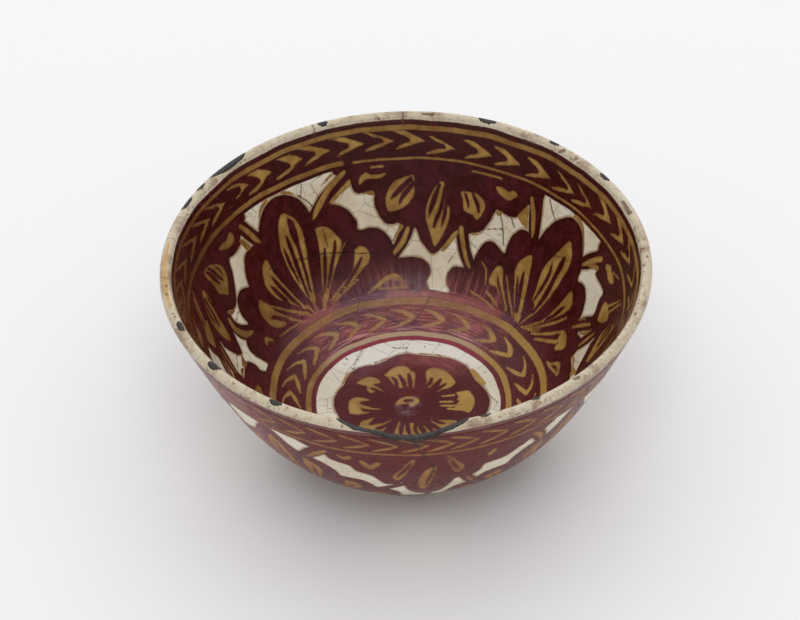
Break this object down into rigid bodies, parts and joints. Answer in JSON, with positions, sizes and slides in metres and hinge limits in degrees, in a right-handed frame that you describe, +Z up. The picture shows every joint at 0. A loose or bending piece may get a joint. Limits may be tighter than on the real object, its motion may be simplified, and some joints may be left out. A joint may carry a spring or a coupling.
{
  "type": "bowl",
  "caption": "Deep round bowl of thin glazed clay with a wide open mouth, rounded lip and low foot ring, for holding food or for display.",
  "frame": {"origin": "centre of the standing face of the foot ring, on the bowl's turning axis", "axes": "+Z up along the turning axis, out of the mouth; -Y towards the large break in the front of the rim; +X to its right seen from the front"},
  "size_m": [0.2, 0.1999, 0.092],
  "materials": {
    "clay_body": "matte",
    "foot_ring": "matte",
    "glaze_inside": "gloss",
    "glaze_outside": "gloss",
    "glaze_under_foot": "gloss",
    "front_rim_fill": "satin",
    "left_rim_fill": "satin",
    "rim_fill_back_right": "satin",
    "rim_fill_right": "satin",
    "rim_fill_back": "satin",
    "rim_fill_back_left": "satin",
    "rim_fill_left_upper": "satin",
    "rim_fill_left_middle": "satin",
    "rim_fill_left_side": "satin",
    "rim_fill_left_lower": "satin",
    "rim_fill_front_left": "satin",
    "rim_fill_front_inner": "satin",
    "rim_fill_front_right": "satin"
  },
  "bodies": {
    "root": {"clay_body": "clay_body", "foot_ring": "foot_ring", "glaze_inside": "glaze_inside", "glaze_outside": "glaze_outside", "glaze_under_foot": "glaze_under_foot", "front_rim_fill": "front_rim_fill", "left_rim_fill": "left_rim_fill", "rim_fill_back_right": "rim_fill_back_right", "rim_fill_right": "rim_fill_right", "rim_fill_back": "rim_fill_back", "rim_fill_back_left": "rim_fill_back_left", "rim_fill_left_upper": "rim_fill_left_upper", "rim_fill_left_middle": "rim_fill_left_middle", "rim_fill_left_side": "rim_fill_left_side", "rim_fill_left_lower": "rim_fill_left_lower", "rim_fill_front_left": "rim_fill_front_left", "rim_fill_front_inner": "rim_fill_front_inner", "rim_fill_front_right": "rim_fill_front_right"}
  },
  "joints": []
}
